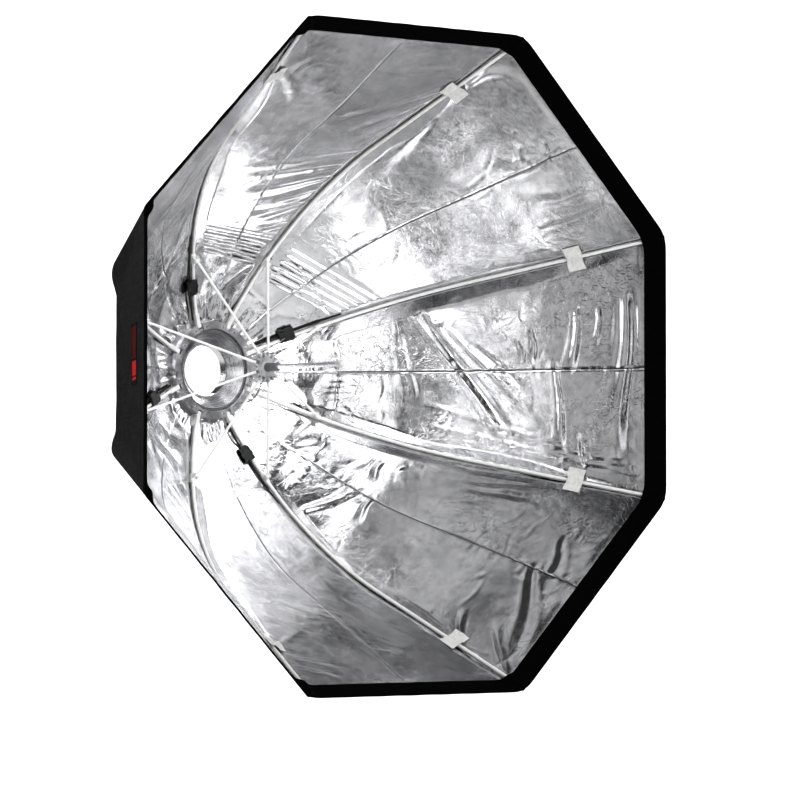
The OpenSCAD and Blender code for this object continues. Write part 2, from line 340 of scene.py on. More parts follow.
def band_look():
    """Black loop tape: a dull pile with a row of stitches along each edge."""
    look = Look("band_black", (0.005, 0.005, 0.0055), 0.9, Specular_IOR_Level=0.08)
    where = look.place()
    across, along = look.axes()[:2]
    pile = look.noise(where, 420, 3)
    look.put("Base Color", look.ramp(pile, (0.3, (0.0015, 0.0015, 0.0017)), (0.8, (0.005, 0.005, 0.0055))))
    loops = look.bump(look.cells(where, 900), 0.0007, 0.8)
    rows = look.math("ADD", look.near(along, 0.003, 0.0008), look.near(along, BAND_DEPTH - 0.004, 0.0008))
    stitch = look.math("MULTIPLY", rows, look.stripes(across, 0.004, 0.66))
    look.bump(look.math("SUBTRACT", 1.0, stitch), 0.0006, 0.9, loops)
    return look.mat


def tab_look():
    """White ribbon with fine ribs across it."""
    look = Look("tab_white", (0.82, 0.82, 0.80), 0.55, Sheen_Weight=0.2)
    rib = look.math("SINE", look.math("MULTIPLY", look.axes()[0], 4200))
    cloud = look.noise(look.place(), 150, 3)
    look.put("Base Color", look.ramp(cloud, (0.25, (0.70, 0.70, 0.68)), (0.75, (0.88, 0.88, 0.87))))
    look.bump(rib, 0.0002, 0.6)
    return look.mat


def webbing_look():
    """Black woven strap: cords along it and picks across."""
    look = Look("webbing_black", (0.012, 0.012, 0.013), 0.62, Sheen_Weight=0.1)
    across, along = look.axes()[:2]
    cords = look.math("SINE", look.math("MULTIPLY", across, 3500))
    picks = look.math("SINE", look.math("MULTIPLY", along, 2600))
    look.put("Base Color", look.ramp(look.noise(look.place(), 300, 3), (0.3, 0.008), (0.8, 0.022)))
    look.bump(look.math("MULTIPLY", cords, picks), 0.0004, 0.9)
    return look.mat


def moulded_look(name, color, roughness, grain=700.0, depth=0.0002, tint=0.12):
    """Moulded plastic: a fine eroded grain, slight colour change and paler worn edges."""
    look = Look(name, color, roughness)
    where = look.place()
    low = tuple(c * (1 - tint) for c in color)
    high = tuple(min(1, c * (1 + tint)) for c in color)
    tone = look.ramp(look.noise(where, 60, 4), (0.3, low), (0.7, high))
    worn = tuple(min(1, c * 1.5 + 0.02) for c in color)
    look.put("Base Color", look.mix(look.worn_edges(0.6), tone, worn))
    smudge = look.noise(where, 180, 3)
    look.put("Roughness", look.between(smudge, 0.3, 0.7, roughness * 0.85, roughness * 1.2))
    look.bump(look.noise(where, grain, 4, 0.6), depth, 0.6)
    return look.mat


def metal_look(name, color, roughness, grain=500.0, depth=0.0002, stretch=(1, 1, 1), worn=0.25):
    """Bare or cast metal with a grain, smudges in its gloss and brighter edges."""
    look = Look(name, color, roughness, 1.0)
    where = look.place(stretch)
    low = tuple(c * 0.84 for c in color)
    high = tuple(min(1, c * 1.1) for c in color)
    tone = look.ramp(look.noise(look.place(), 45, 5, 0.6), (0.3, low), (0.7, high))
    bright = tuple(min(1, c + worn) for c in color)
    look.put("Base Color", look.mix(look.worn_edges(0.8), tone, bright))
    smudge = look.noise(look.place(), 70, 4)
    look.put("Roughness", look.between(smudge, 0.3, 0.7, roughness * 0.75, roughness * 1.3))
    look.bump(look.noise(where, grain, 4, 0.6), depth, 0.7)
    return look.mat


def spun_look():
    """Aluminium spun on a lathe: rings round the axis, and a cloudy gloss."""
    look = Look("dish_aluminium", (0.42, 0.42, 0.43), 0.22, 1.0)
    x, y, z = look.axes("Object")
    squares = look.math("ADD", look.math("POWER", x, 2.0), look.math("POWER", z, 2.0))
    both = look.node("CombineXYZ")
    look.links.new(look.math("SQRT", squares), both.inputs[0])
    look.links.new(y, both.inputs[1])
    rings = look.noise(both.outputs[0], 1500, 2, 0.5)
    cloud = look.noise(look.place(), 40, 4)
    look.put("Base Color", look.ramp(cloud, (0.3, (0.36, 0.36, 0.37)), (0.7, (0.50, 0.50, 0.51))))
    look.put("Roughness", look.between(rings, 0.3, 0.7, 0.14, 0.36))
    look.bump(rings, 0.00012, 0.5)
    return look.mat


def rod_look():
    """White glass fibre rod: a smooth resin skin over faint long fibres."""
    look = Look("white_rod", (0.90, 0.90, 0.89), 0.35)
    where = look.place()
    fibres = look.noise(where, 90, 4)
    look.put("Base Color", look.ramp(fibres, (0.3, (0.86, 0.86, 0.85)), (0.7, (0.95, 0.95, 0.94))))
    look.put("Roughness", look.between(look.noise(where, 50, 3), 0.3, 0.7, 0.24, 0.4))
    look.bump(look.noise(where, 900, 3), 0.0001, 0.5)
    return look.mat


LABEL_HALF = 0.054
LABEL_L = 0.100
LABEL_RIM = 0.003


def label_look():
    """A woven patch: dark red bars, a bright block and a rule at its foot, and an overlocked border."""
    look = Look("label_red", (0.22, 0.01, 0.015), 0.75, Specular_IOR_Level=0.2)
    along, across = look.axes()[:2]
    thread = look.ramp(look.noise(look.place(), 400, 2), (0.3, 0.006), (0.7, 0.016))
    inset = look.near(along, LABEL_L / 2, 0.074)
    bars = look.math("MULTIPLY", inset, look.near(across, -0.020, 0.056))
    bars = look.math("MULTIPLY", bars, look.stripes(along, 0.0052, 0.62))
    field = look.mix(bars, thread, (0.20, 0.006, 0.010))
    block = look.math("MULTIPLY", inset, look.near(across, 0.025, 0.026))
    rule = look.math("MULTIPLY", inset, look.near(across, 0.043, 0.005))
    bright = look.mix(look.math("MAXIMUM", block, rule), field, (0.60, 0.03, 0.04))
    from_middle = look.math("ABSOLUTE", look.math("SUBTRACT", along, LABEL_L / 2))
    sides = look.math("GREATER_THAN", look.math("ABSOLUTE", across), LABEL_HALF - LABEL_RIM)
    ends = look.math("GREATER_THAN", from_middle, LABEL_L / 2 - LABEL_RIM)
    look.put("Base Color", look.mix(look.math("MAXIMUM", sides, ends), bright, (0.012, 0.010, 0.010)))
    weave = look.math("SINE", look.math("MULTIPLY", look.math("ADD", along, across), 5000))
    look.bump(weave, 0.0002, 0.6)
    return look.mat


def floor_look():
    """A pale studio floor with a faint mottle."""
    look = Look("pale_floor", (0.86, 0.86, 0.86), 0.6)
    look.put("Base Color", look.ramp(look.noise(look.place(), 1.5, 3), (0.3, 0.84), (0.7, 0.89)))
    look.bump(look.noise(look.place(), 60, 3), 0.0005, 0.3)
    return look.mat


LOOKS = {
    "lining": lining_look(),
    "shell": shell_look(),
    "band": band_look(),
    "tab": tab_look(),
    "webbing": webbing_look(),
    "clip": moulded_look("clip_black", (0.012, 0.012, 0.013), 0.4),
    "label": label_look(),
    "rod": rod_look(),
    "nylon": moulded_look("white_nylon", (0.74, 0.74, 0.72), 0.42),
    "cast": metal_look("cast_grey", (0.24, 0.24, 0.25), 0.40, 420, 0.0005, worn=0.3),
    "cover": metal_look("cover_grey", (0.26, 0.26, 0.27), 0.34, 600, 0.0003, worn=0.3),
    "dish": spun_look(),
    "bright": metal_look("bright_steel", (0.72, 0.72, 0.73), 0.22, 900, 0.0001),
    "dark": metal_look("dark_steel", (0.22, 0.22, 0.23), 0.32, 800, 0.0001),
    "plastic": moulded_look("black_plastic", (0.018, 0.018, 0.019), 0.45),
    "hub": moulded_look("hub_grey", (0.42, 0.42, 0.43), 0.34, 900, 0.00015, 0.3),
    "sleeve": moulded_look("sleeve_grey", (0.16, 0.16, 0.17), 0.32, 900, 0.0001, 0.2),
    "shaft": metal_look("shaft_silver", (0.50, 0.50, 0.51), 0.22, 700, 0.00006, (1, 0.02, 1)),
}

# ---- the cloth's creases ----

# Folds that the tension pulls across each panel: from (s, c) to (s, c), height and width in
# millimetres; a height below zero is a groove. Panel 1 lies between ribs 1 and 2.
FOLDS = {
    1: [
        (0.69, 0.97, 0.42, 0.70, 2.6, 10), (0.67, 0.97, 0.52, 0.72, -2.4, 6),
        (0.71, 0.96, 0.80, 0.86, 1.8, 8), (0.80, 0.06, 0.70, 0.12, 2.6, 9),
        (0.75, 0.00, 0.64, 0.08, 2.2, 12), (0.77, 0.16, 0.74, -0.10, -2.4, 8),
        (0.72, 0.22, 0.69, 0.02, -2.0, 7), (0.80, -0.60, 0.62, -0.66, -2.2, 9),
        (0.78, -0.40, 0.66, -0.34, 1.8, 9),
    ],
    2: [
        (0.685, -0.96, 0.54, -0.06, 3.0, 7), (0.670, -0.96, 0.50, -0.40, 3.0, 6),
        (0.66, -0.97, 0.46, -0.62, 2.4, 6), (0.450, -0.97, 0.370, 0.60, -3.0, 9),
        (0.405, -0.97, 0.350, 0.50, -3.2, 7), (0.367, -0.97, 0.305, 0.38, -5.0, 9),
        (0.330, -0.98, 0.285, -0.20, -3.2, 6), (0.296, -0.97, 0.246, 0.10, -4.6, 7),
        (0.240, -0.96, 0.222, -0.20, -3.6, 5), (0.50, -0.90, 0.56, 0.40, 1.6, 12),
        (0.70, 0.96, 0.56, 0.30, 1.6, 10), (0.74, -0.70, 0.70, 0.10, 1.4, 10),
    ],
    3: [
        (0.18, 0.40, 0.24, -0.90, 2.4, 8), (0.15, 0.20, 0.30, -0.80, -2.2, 9),
        (0.68, -0.97, 0.50, -0.40, 1.8, 10), (0.14, 0.95, 0.36, -0.10, 2.0, 12),
        (0.69, 0.97, 0.52, 0.45, 1.8, 10), (0.45, -0.9, 0.40, 0.6, 1.4, 14),
    ],
    4: [
        (0.15, -0.96, 0.40, 0.20, 1.6, 14), (0.15, 0.96, 0.42, -0.20, 1.6, 14),
        (0.60, -0.5, 0.30, -0.4, 1.4, 16), (0.62, 0.4, 0.28, 0.5, 1.4, 16),
    ],
    5: [
        (0.15, -0.96, 0.30, 0.30, 2.2, 12), (0.26, 0.92, 0.25, -0.20, 2.6, 8),
        (0.31, 0.90, 0.285, -0.10, 2.0, 7), (0.68, 0.97, 0.48, 0.40, 2.0, 12),
    ],
    6: [
        (0.19, 0.95, 0.24, 0.20, 2.8, 9), (0.68, 0.97, 0.60, 0.60, 1.2, 12),
        (0.68, -0.97, 0.60, -0.30, 2.0, 9), (0.74, -0.95, 0.79, -0.50, 2.4, 6),
        (0.70, -0.95, 0.76, -0.40, 2.0, 6), (0.50, -0.60, 0.62, 0.20, 1.0, 14),
    ],
    7: [
        (0.72, 0.05, 0.815, -0.86, -5.6, 11), (0.735, 0.40, 0.775, -0.10, -3.0, 8),
        (0.692, -0.97, 0.648, -0.66, 3.4, 5), (0.810, -0.95, 0.715, -0.60, 4.0, 5),
        (0.486, 0.60, 0.650, 0.68, -2.2, 6), (0.465, 0.38, 0.540, 0.48, -2.0, 6),
        (0.66, 0.97, 0.36, 0.90, -3.0, 6), (0.64, 0.88, 0.40, 0.74, 2.2, 7),
        (0.34, 0.02, 0.345, -0.44, 2.4, 6), (0.36, 0.62, 0.36, 0.48, -2.6, 6),
        (0.31, 0.60, 0.32, 0.20, 2.4, 7), (0.24, -0.90, 0.33, 0.30, 1.8, 9),
    ],
    8: [
        (0.785, 0.62, 0.758, -0.84, -5.0, 15), (0.802, 0.60, 0.785, -0.80, 2.0, 8),
        (0.728, 0.55, 0.722, 0.16, -3.4, 6), (0.684, 0.55, 0.672, -0.10, -3.8, 7),
        (0.640, 0.05, 0.655, -0.82, -3.6, 6), (0.590, 0.40, 0.594, 0.02, -2.8, 6),
        (0.560, 0.30, 0.575, 0.04, -2.0, 5), (0.335, 0.84, 0.545, -0.80, 3.8, 6),
        (0.350, 0.86, 0.575, -0.80, -3.4, 7), (0.420, 0.50, 0.625, -0.60, 2.2, 6),
        (0.470, 0.30, 0.600, -0.30, -2.0, 6), (0.320, 0.50, 0.350, -0.60, 1.8, 9),
        (0.812, -0.80, 0.330, -0.36, 2.4, 3.2), (0.812, -0.84, 0.330, -0.66, 2.0, 3.0),
        (0.700, -0.86, 0.690, -0.50, 2.6, 6),
    ],
}
# Long pleats that lie right across a panel, from rib to rib, given as the folds are.
PLEATS = {
    1: [
        (0.198, 0.99, 0.292, -0.98, 1.6, 8), (0.182, 0.99, 0.274, -0.98, 2.6, 8),
        (0.166, 0.99, 0.256, -0.98, 3.0, 8), (0.150, 0.99, 0.238, -0.98, 3.0, 8),
        (0.134, 0.99, 0.220, -0.98, 2.6, 8), (0.118, 0.99, 0.202, -0.98, 2.0, 7),
    ],
    2: [
        (0.230, 0.97, 0.202, -0.99, 1.8, 7), (0.215, 0.97, 0.186, -0.99, 2.6, 7),
        (0.200, 0.97, 0.170, -0.99, 2.8, 7), (0.185, 0.97, 0.154, -0.99, 2.8, 7),
        (0.170, 0.97, 0.138, -0.99, 2.2, 7),
    ],
}
# Tension along the bent ribs draws each panel inwards, so that it climbs a flank beside each rib.
# For each panel: the flank's width and rise in millimetres beside its first rib and its second.
FLANKS = {
    1: ((13, 4.5), (24, 7.5)),
    2: ((18, 6.5), (18, 7.0)),
    3: ((18, 7.0), (20, 7.5)),
    4: ((26, 9.0), (26, 9.0)),
    5: ((20, 7.5), (18, 6.5)),
    6: ((16, 6.0), (36, 8.0)),
    7: ((16, 5.5), (32, 8.8)),
    8: ((20, 6.0), (38, 10.4)),
}
CREASES_EACH = 200
FOLD_GAIN = 0.5
CREASE_SEED = 40
SKIRT_S = 0.188
# The share of each fold that the shell takes too, how far shell and lining sag, and the seam's height.
SHARED_FOLD = 0.55
SHELL_SAG = 2.0 * MM
LINING_SAG = 0.9 * MM
SEAM_RISE = 1.1 * MM


def eased(x, low, high):
    """From 0 at low to 1 at high, smoothly."""
    t = np.clip((x - low) / (high - low), 0, 1)
    return t * t * (3 - 2 * t)


def fold_profile(distance, width):
    """A crest with a shallow dip on each side of it."""
    q = np.abs(distance / width)
    return np.exp(-q * q) - 0.3 * np.exp(-((q - 1.8) ** 2) * 1.5)


def along_line(s, u, start, end):
    """How far each point lies from the line, and where along it, from 0 to 1."""
    d = np.array(end) - np.array(start)
    length = np.hypot(*d)
    along = ((s - start[0]) * d[0] + (u - start[1]) * d[1]) / length**2
    off = ((s - start[0]) * d[1] - (u - start[1]) * d[0]) / length
    return off, along


def pleats(p, s, u):
    """The long pleats: ridges with straight flanks, closer together towards rib 1 in panel 1 and
    towards rib 3 in panel 2."""
    rise = np.zeros_like(s)
    for s0, c0, s1, c1, height, width in PLEATS.get(p, []):
        off, along = along_line(s, u, (s0, c0 * half_width(s0)), (s1, c1 * half_width(s1)))
        near_end = np.clip(along if p == 1 else 1 - along, 0, 1)
        spread = width * MM * (1 - 0.45 * near_end)
        inside = eased(along, -0.05, 0.05) * (1 - eased(along, 0.95, 1.04))
        ridge = np.clip(1.08 - np.sqrt((off / spread) ** 2 + 0.0064), 0, 1)
        uneven = 0.85 + 0.15 * np.sin(9 * along + s0 * 40)
        rise += height * MM * inside * (1 - 0.4 * near_end) * ridge * uneven
    return rise


def half_width(s):
    """Half of a panel's width, at the distance s along its ribs."""
    return rib_line(s, LINING_OFF)[0] * math.sin(HALF)


def tension_folds(p, s, u):
    """The folds of a panel, each of which sets in sharply and runs out wide."""
    rise = np.zeros_like(s)
    for s0, c0, s1, c1, height, width in FOLDS[p]:
        ends = (s0, c0 * half_width(s0)), (s1, c1 * half_width(s1))
        off, along = along_line(s, u, *ends)
        wander = 0.35 * width * MM * np.sin(7 * along + 5 * s0 + p)
        taper = eased(along, -0.04, 0.10) * (1 - eased(along, 0.55, 1.04))
        spread = width * MM * (0.55 + 0.75 * np.clip(along, 0, 1))
        rise += FOLD_GAIN * height * MM * taper * fold_profile(off + wander, spread)
    return rise


def tension_dish(p, s, u):
    """The panel between its flanks stands flat, further into the canopy than the line from rib to rib."""
    belly = np.sin(math.pi * np.clip((s - 0.12) / 0.76, 0, 1))
    wavy = 1 + 0.08 * np.sin(s * 31 + p) + 0.04 * np.sin(s * 83 + 2 * p)
    share = (1 + u / half_width(s)) / 2
    (wide_a, deep_a), (wide_b, deep_b) = FLANKS[p]
    rise = (deep_a * (1 - share) + deep_b * share) * MM
    rise = rise * eased(s, 0.04, 0.24) * (1 - eased(s, 0.56, BAND_S - 0.004))
    for side, wide in ((-1, wide_a), (1, wide_b)):
        x = (half_width(s) - side * u) / (wide * MM * (0.30 + 0.70 * belly) * wavy)
        rise = rise * np.where(x < 0.94, x, 1 - 0.06 * np.exp(-np.maximum(x - 0.94, 0) / 0.06))
    return rise


def small_creases(p, s, u):
    """Many short sharp creases, finer and closer near the ring."""
    rng = np.random.default_rng(CREASE_SEED + p)
    rise = np.zeros_like(s)
    for _ in range(CREASES_EACH):
        s0 = ROOT_S + (RIB_L - ROOT_S) * rng.random() ** 0.75
        w = half_width(s0)
        u0 = w * rng.uniform(-1, 1)
        turn = rng.uniform(0, math.pi)
        length = rng.uniform(0.012, 0.06) * (0.5 + w / 0.25)
        width = rng.uniform(1.6, 5.0) * MM
        height = rng.uniform(0.1, 1.0) ** 2 * 0.6 * MM * rng.choice([1.0, 1.0, -0.8])
        d = np.array([math.cos(turn), math.sin(turn)]) * length / 2
        off, along = along_line(s, u, (s0 - d[0], u0 - d[1]), (s0 + d[0], u0 + d[1]))
        taper = np.clip(1 - (2 * along - 1) ** 2, 0, 1)
        bend = 0.12 * length * (2 * along - 1) ** 2
        rise += height * taper * np.exp(-(((off + bend) / width) ** 2))
    return rise


def field(p, s, u, size, shift):
    """Smooth noise from -1 to 1 over the cloth, with bumps of about this size in metres."""
    flat = np.stack([s.ravel(), u.ravel()], axis=1) / size
    return np.array([noise.noise(Vector((a, b, shift * p))) for a, b in flat]).reshape(s.shape)


def soft_waves(p, s, u):
    """Slack in the cloth, as smooth waves of two sizes."""
    return 1.9 * MM * field(p, s, u, 0.14, 3.1) + 0.3 * MM * field(p, s, u, 0.045, 7.7)


def crumple(p, s, u):
    """Crushed foil in the skirt round the ring: flat facets between sharp creases."""
    skirt = (1 - eased(s, SKIRT_S - 0.012, SKIRT_S + 0.018)) * eased(s, ROOT_S, 0.04)
    bend = 0.03 * field(p, s, u, 0.07, 5.3)
    large = np.abs(field(p, s + bend, u - bend, 0.085, 11.9))
    small = np.abs(field(p, s - bend, u + bend, 0.042, 17.3))
    rest = np.abs(field(p, s, u, 0.05, 23.9)) * 0.35 * MM
    return (7 * MM * large + 0.7 * MM * small - 1.4 * MM) * skirt + rest * (1 - skirt)


def skirt_seam(p, s, u):
    """The seam where the skirt ends, slightly wavy, with the cloth gathered along it."""
    at = SKIRT_S + 0.004 * np.sin(u * 40 + p) + 0.0015 * np.sin(u * 150 + 2 * p)
    line = np.exp(-(((s - at) / 0.0022) ** 2))
    gathers = np.exp(-np.abs(s - at) / 0.014) * np.sin(u * 420 + 3 * np.sin(u * 60 + p))
    return (0.8 * line + 0.15 * gathers) * MM


def ring_gathers(p, s, u):
    """Pleats where the cloth is drawn in to the ring, and puckers along the middle seam."""
    c = u / half_width(s)
    waves = np.sin(c * 11 + p + 2.5 * np.sin(22 * s + p))
    waves = waves + 0.5 * np.sin(c * 23 + 2 * p + 1.5 * np.sin(50 * s))
    root = (1 - eased(s, 0.02, 0.09)) * eased(s, ROOT_S, 0.02)
    pucker = np.sin(s * 330 + 2 * np.sin(s * 41 + p)) * np.exp(-np.abs(u) / 0.008)
    return 0.8 * MM * root * waves + 0.22 * MM * pucker


def allowed(s, u):
    """The highest rise that stays clear of the rib and its strap."""
    from_rib = half_width(s) - np.abs(u)
    return 1.6 * MM + (0.12 + 0.16 * eased(s, 0.12, 0.22)) * np.maximum(from_rib - 0.006, 0)


def panel_rise(p, s, c):
    """How far the shell and the lining of panel p stand into the canopy. They share the slack and most
    of each fold, and the lining has creases of its own."""
    u = c * half_width(s)
    from_rib = half_width(s) - np.abs(u)
    edges = eased(from_rib, 0.0, 0.006) * eased(s, ROOT_S, ROOT_S + 0.012)
    edges = edges * (1 - eased(s, BAND_S - 0.016, BAND_S - 0.002))
    folds = tension_folds(p, s, u)
    shared = tension_dish(p, s, u) + (soft_waves(p, s, u) + SHARED_FOLD * folds) * edges
    own = (1 - SHARED_FOLD) * folds + small_creases(p, s, u) + ring_gathers(p, s, u)
    own = (own + crumple(p, s, u) + pleats(p, s, u) + skirt_seam(p, s, u)) * edges
    shared = np.clip(shared, -SHELL_SAG, allowed(s, u))
    seam = SEAM_RISE * np.exp(-((u / 0.0012) ** 2)) * eased(s, 0.02, 0.06)
    lining = np.clip(shared + own, shared - LINING_SAG, allowed(s, u)) + seam
    return np.minimum(0.9 * shared, shared), lining


# ---- canopy pieces ----


def halves(p):
    """The two halves of panel p, each as its rib, its side of that rib and its range of c."""
    return [(p, "b", -1.0, 0.0), (p % PANELS + 1, "a", 0.0, 1.0)]


def across(c):
    """A share from 0 at the rib to 1 at the middle seam."""
    return 1 - np.abs(c)


def follow_fold(piece):
    """Bakes the piece's placement into its mesh."""
    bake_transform(piece)


def flat_uv(s, u):
    """The flat cloth's coordinates: across first, then along."""
    return np.stack([u, s], axis=-1)


def columns(c0, c1, count):
    """Places across a half panel, closer together at the middle seam and at the rib."""
    t = np.linspace(0, 1, count)
    t = t - 0.055 * np.sin(2 * math.pi * t)
    return c0 + (c1 - c0) * t


# Rows of points along the lining, closer together where it is pleated, and along the shell. The lining
# ends under the band, and the shell inside the lip.
PLEATED_S = 0.30
PLEATED_ROWS = 120
OUTER_ROWS = 150
UNDER_BAND = 0.004
SHELL_ROWS = 175
SHELL_SHORT = 0.006
WELT = 0.5 * MM
LINING_COLS = 47


def canopy_half(p, k, side, c0, c1):
    """The lining and the shell of a half panel, each one curved sheet."""
    near_ring = np.linspace(ROOT_S, PLEATED_S, PLEATED_ROWS, endpoint=False)
    rows = np.concatenate([near_ring, np.linspace(PLEATED_S, BAND_S + UNDER_BAND, OUTER_ROWS)])
    s, c = np.meshgrid(rows, columns(c0, c1, LINING_COLS), indexing="ij")
    _, lining = panel_rise(p, s, c)
    u = c * half_width(s)
    points = panel_points(p, s, c, LINING_OFF, lining)
    inner = grid_piece(f"lining_{k}{side}", points, flat_uv(s, u), LOOKS["lining"])
    follow_fold(inner)
    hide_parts(f"gore_{k}{side}")
    rows = np.linspace(ROOT_S, RIB_L - SHELL_SHORT, SHELL_ROWS)
    s, c = np.meshgrid(rows, columns(c0, c1, LINING_COLS)[::2], indexing="ij")
    shell, _ = panel_rise(p, s, c)
    welt = WELT * np.exp(-((half_width(s) * across(c) / 0.003) ** 2))
    points = panel_points(p, s, c, SHELL_OFF, shell - welt)
    flat = flat_uv(s, c * half_width(s))
    outer = grid_piece(f"shell_{k}{side}", points, flat, LOOKS["shell"], flip=True)
    follow_fold(outer)


HEM_OUT = 0.020
HEM_STEPS = 9
POCKET_RISE = 11.4 * MM
CORNER_CUT = 1.2 * MM
BAND_COLS = 41


def hem_profile(bulge, cut):
    """The band's section, from its inner edge round the lip and back along the outside, as (s, off the
    rib's axis). bulge is how far it stands in over a rib's tip, and cut how much the lip's corner loses."""
    inner, outer = LINING_OFF - 0.8 * MM - bulge, SHELL_OFF + 0.9 * MM
    middle, half = (inner + outer) / 2, (outer - inner) / 2
    reach = min(half, 0.006) + 0.0006
    end = RIB_L - cut - reach
    rows = [(BAND_S + (end - BAND_S) * t, inner) for t in np.linspace(0, 1, 10)]
    for t in np.linspace(0, math.pi, HEM_STEPS)[1:-1]:
        rows.append((end + reach * math.sin(t), middle - half * math.cos(t)))
    rows += [(end - HEM_OUT * t, outer) for t in np.linspace(0, 1, 5)]
    return np.array(rows)


def band_half(p, k, side, c0, c1):
    """The loop band inside the mouth, its lip and the hem outside, with a pocket over the rib's tip."""
    share = np.linspace(0, 1, BAND_COLS) ** 1.5
    c_line = c0 + (c1 - c0) * (share if c0 < 0 else 1 - share[::-1])
    from_rib = half_width(RIB_L) * across(c_line)
    bulges = POCKET_RISE * np.exp(-((from_rib / 0.0135) ** 2))
    cuts = CORNER_CUT * np.exp(-((from_rib / 0.010) ** 2))
    sections = np.array([hem_profile(*pair) for pair in zip(bulges, cuts)])
    s, out = sections[..., 0].T, sections[..., 1].T
    c = np.broadcast_to(c_line, s.shape)
    ripple = 0.35 * MM * np.sin(c * 21 + p) * across(c)
    points = panel_points(p, s, c, LINING_OFF, LINING_OFF - out + ripple)
    steps = np.diff(sections[BAND_COLS // 2], axis=0)
    run = np.concatenate([[0], np.cumsum(np.hypot(steps[:, 0], steps[:, 1]))])
    u = c * half_width(RIB_L)
    uv = np.stack([u, np.broadcast_to(run[:, None], s.shape)], axis=-1)
    piece = grid_piece(f"band_{k}{side}", points, uv, LOOKS["band"])
    follow_fold(piece)


BINDING_HALF = 0.0048
BINDING_FROM = 0.030


def rib_binding(k):
    """The grey tape that binds the lining's seam behind a rib."""
    s = np.linspace(BINDING_FROM, BAND_S - 0.004, 120)
    offsets = np.linspace(-BINDING_HALF, BINDING_HALF, 7)
    ss, side = np.meshgrid(s, offsets, indexing="ij")
    rise = 0.0020 + 0.0007 * np.cos(side / BINDING_HALF * 1.2) + 0.0003 * np.sin(ss * 240 + k)
    lean = np.abs(side) * math.tan(HALF) * np.sin(slope(ss))
    points = rib_points(k, ss, side, rise - LINING_OFF + lean)
    piece = grid_piece(f"binding_{k}", points, flat_uv(ss, side), LOOKS["lining"])
    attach(piece, f"rib_{k}")


TAB_S = 0.680
TAB_L = 0.032
TAB_REACH = 0.023


def lining_beside(k, s, side):
    """How far the lining stands in, at this distance to one side of rib k or the other."""
    c = 1 - np.abs(side) / half_width(s)
    before, after = panel_rise((k - 2) % PANELS + 1, s, c)[1], panel_rise(k, s, -c)[1]
    return np.where(side < 0, before, after)


def rib_tab(k):
    """A white loop of ribbon that ties the lining to the rib."""
    t = np.linspace(-1, 1, 33)
    along = np.linspace(-TAB_L / 2, TAB_L / 2, 7)
    tt, ss = np.meshgrid(t, along, indexing="ij")
    side = TAB_REACH * tt
    lean = np.abs(side) * math.tan(HALF) * math.sin(float(slope(TAB_S)))
    over = (LINING_OFF + ROD_R + 0.0009) * np.exp(-((side / 0.0085) ** 2)) ** 0.8
    s = TAB_S + ss * (1 + 0.10 * np.abs(tt)) + 0.0012 * np.sin(5 * tt + k)
    lift = -LINING_OFF + lean + 0.0024 + lining_beside(k, s, side) + over * (1 - np.abs(tt)) ** 0.25
    points = rib_points(k, s, side, lift)
    piece = grid_piece(f"tab_{k}", points, np.stack([side, ss], axis=-1), LOOKS["tab"])
    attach(piece, f"rib_{k}")


for panel in range(1, PANELS + 1):
    for half in halves(panel):
        canopy_half(panel, *half)
        band_half(panel, *half)
for rib in range(1, PANELS + 1):
    rib_binding(rib)
    rib_tab(rib)

# ---- label ----

LABEL_S = 0.650
PATCH_T = 0.0006
OFF_SEAM = 0.0006


def label_half(name, p, sign):
    """Half of the woven patch on the outside, from the middle seam to one side of it."""
    s = np.linspace(LABEL_S, LABEL_S + LABEL_L, 21)
    from_seam = np.linspace(OFF_SEAM, LABEL_HALF, 13) * sign
    ss, u = np.meshgrid(s, from_seam, indexing="ij")
    c = u / half_width(ss)
    shell, _ = panel_rise(p, ss, c)
    points = panel_points(p, ss, c, SHELL_OFF, shell - PATCH_T)
    uv = np.stack([ss - LABEL_S, u], axis=-1)
    piece = grid_piece(f"{name}_patch", points, uv, LOOKS["label"], flip=sign > 0)
    follow_fold(piece)
    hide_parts(name)


# ---- straps ----

STRAPPED_RIBS = (1, 3, 5, 7)
STRAP_W = 0.0045
STRAP_T = 0.0014
STRAP_Y = 0.010
STRAP_SPAN = (0.016, 0.200)
CLIP_S = 0.085
CLIP_Y = 0.008
CLIP_L = 0.030
CLIP_W = 0.024


def strap_side(k):
    """The side of rib k on which its strap lies."""
    return 1 if k < 4 else -1


def strap_webbing(k):
    """The strap beside rib k: a bar with rounded edges that sags a little."""
    w, t = STRAP_W / 2, STRAP_T / 2
    under = [(-w, -0.4 * t), (-0.85 * w, -t), (0.85 * w, -t), (w, -0.4 * t)]
    outline = under + [(y, -lift) for y, lift in reversed(under)]
    rings, uv = [], []
    for value in np.linspace(*STRAP_SPAN, 70):
        sag = 0.0006 * math.sin((value - STRAP_SPAN[0]) * 60 + k)
        rings.append([
            rib_points(k, np.array(value), strap_side(k) * STRAP_Y + y, lift + sag) for y, lift in outline
        ])
        uv.append([(j * 0.0025, value) for j in range(len(outline) + 1)])
    piece = swept_piece(f"webbing_{k}", np.array(rings), uv, LOOKS["webbing"])
    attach(piece, f"rib_{k}")
    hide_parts(f"strap_{k}")


def block(mesh, size, centre):
    """Adds a block, whose edges are rounded with the rest of its mesh."""
    made = bmesh.ops.create_cube(mesh, size=1.0)["verts"]
    bmesh.ops.scale(mesh, vec=size, verts=made)
    bmesh.ops.translate(mesh, vec=centre, verts=made)


